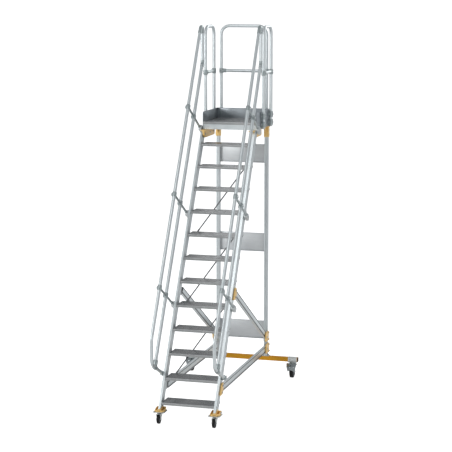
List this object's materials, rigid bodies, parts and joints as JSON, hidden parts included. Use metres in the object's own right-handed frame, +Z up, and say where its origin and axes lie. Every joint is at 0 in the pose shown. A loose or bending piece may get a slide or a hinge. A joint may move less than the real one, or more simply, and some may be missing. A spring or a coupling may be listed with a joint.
{
  "type": "rolling warehouse ladder",
  "caption": "Mobile platform stair with ribbed treads, twin handrails, a guarded top platform, braced rear posts on a wide crossbar, and swivel casters.",
  "frame": {"origin": "on the floor, under the middle of the ladder's plan", "axes": "+Z up, +Y the direction a climber faces, +X to the climber's right"},
  "size_m": [1.388, 2.5431, 4.2001],
  "materials": {
    "aluminium": "satin extruded and drawn aluminium tube",
    "tread_metal": "ribbed extrusion, semi-gloss",
    "sheet": "brushed sheet",
    "toe_sheet": "matt sheet, blue-grey",
    "cast_yellow": "die casting, gold-yellow coat",
    "orange_paint": "ochre-orange coated steel tube",
    "cast_grey": "die casting, dark grey",
    "zinc": "bright zinc-plated pressed steel",
    "tyre": "black rubber tyre on a grey hub"
  },
  "bodies": {
    "frame": {"tread_01": "tread_metal", "tread_02": "tread_metal", "tread_03": "tread_metal", "tread_04": "tread_metal", "tread_05": "tread_metal", "tread_06": "tread_metal", "tread_07": "tread_metal", "tread_08": "tread_metal", "tread_09": "tread_metal", "tread_10": "tread_metal", "tread_11": "tread_metal", "tread_12": "tread_metal", "platform_deck": "tread_metal", "platform_frame": "aluminium", "toe_board": "toe_sheet", "crossbar": "orange_paint", "guard_rear": "aluminium", "panel_lower": "sheet", "panel_middle": "sheet", "panel_upper": "sheet", "stringer_left": "aluminium", "upright_left": "aluminium", "brace_upper_left": "aluminium", "knuckle_stringer_upper_left": "cast_yellow", "knuckle_upright_upper_left": "cast_yellow", "brace_lower_left": "aluminium", "knuckle_stringer_lower_left": "cast_yellow", "knuckle_upright_lower_left": "cast_yellow", "guard_left": "aluminium", "handrail_left": "aluminium", "mid_rail_left": "aluminium", "rail_strut_lower_left": "cast_grey", "rail_strut_middle_left": "cast_grey", "rail_strut_upper_left": "cast_grey", "foot_left": "cast_yellow", "stringer_right": "aluminium", "upright_right": "aluminium", "brace_upper_right": "aluminium", "knuckle_stringer_upper_right": "cast_yellow", "knuckle_upright_upper_right": "cast_yellow", "brace_lower_right": "aluminium", "knuckle_stringer_lower_right": "cast_yellow", "knuckle_upright_lower_right": "cast_yellow", "guard_right": "aluminium", "handrail_right": "aluminium", "mid_rail_right": "aluminium", "rail_strut_lower_right": "cast_grey", "rail_strut_middle_right": "cast_grey", "rail_strut_upper_right": "cast_grey", "foot_right": "cast_yellow"},
    "fork_front_left": {"fork_front_left": "zinc"},
    "wheel_front_left": {"wheel_front_left": "tyre"},
    "fork_rear_left": {"fork_rear_left": "zinc"},
    "wheel_rear_left": {"wheel_rear_left": "tyre"},
    "brake_pedal_left": {"brake_pedal_left": "zinc"},
    "fork_front_right": {"fork_front_right": "zinc"},
    "wheel_front_right": {"wheel_front_right": "tyre"},
    "fork_rear_right": {"fork_rear_right": "zinc"},
    "wheel_rear_right": {"wheel_rear_right": "tyre"},
    "brake_pedal_right": {"brake_pedal_right": "zinc"}
  },
  "joints": [
    {"name": "swivel_front_left", "type": "hinge", "parent": "frame", "child": "fork_front_left", "pos_m": [-0.309, -1.085, 0.12], "axis": [0, 0, 1], "continuous": true},
    {"name": "roll_front_left", "type": "hinge", "parent": "fork_front_left", "child": "wheel_front_left", "pos_m": [-0.309, -1.133, 0.05], "axis": [1, 0, 0], "continuous": true},
    {"name": "swivel_rear_left", "type": "hinge", "parent": "frame", "child": "fork_rear_left", "pos_m": [-0.629, 1.189, 0.18], "axis": [0, 0, 1], "continuous": true},
    {"name": "roll_rear_left", "type": "hinge", "parent": "fork_rear_left", "child": "wheel_rear_left", "pos_m": [-0.629, 1.162, 0.075], "axis": [1, 0, 0], "continuous": true},
    {"name": "brake_left", "type": "hinge", "parent": "fork_rear_left", "child": "brake_pedal_left", "pos_m": [-0.629, 1.138, 0.168], "axis": [1, 0, 0], "range_deg": [0, 12]},
    {"name": "swivel_front_right", "type": "hinge", "parent": "frame", "child": "fork_front_right", "pos_m": [0.309, -1.085, 0.12], "axis": [0, 0, 1], "continuous": true},
    {"name": "roll_front_right", "type": "hinge", "parent": "fork_front_right", "child": "wheel_front_right", "pos_m": [0.309, -1.133, 0.05], "axis": [1, 0, 0], "continuous": true},
    {"name": "swivel_rear_right", "type": "hinge", "parent": "frame", "child": "fork_rear_right", "pos_m": [0.629, 1.189, 0.18], "axis": [0, 0, 1], "continuous": true},
    {"name": "roll_rear_right", "type": "hinge", "parent": "fork_rear_right", "child": "wheel_rear_right", "pos_m": [0.629, 1.162, 0.075], "axis": [1, 0, 0], "continuous": true},
    {"name": "brake_right", "type": "hinge", "parent": "fork_rear_right", "child": "brake_pedal_right", "pos_m": [0.629, 1.138, 0.168], "axis": [1, 0, 0], "range_deg": [0, 12]}
  ]
}
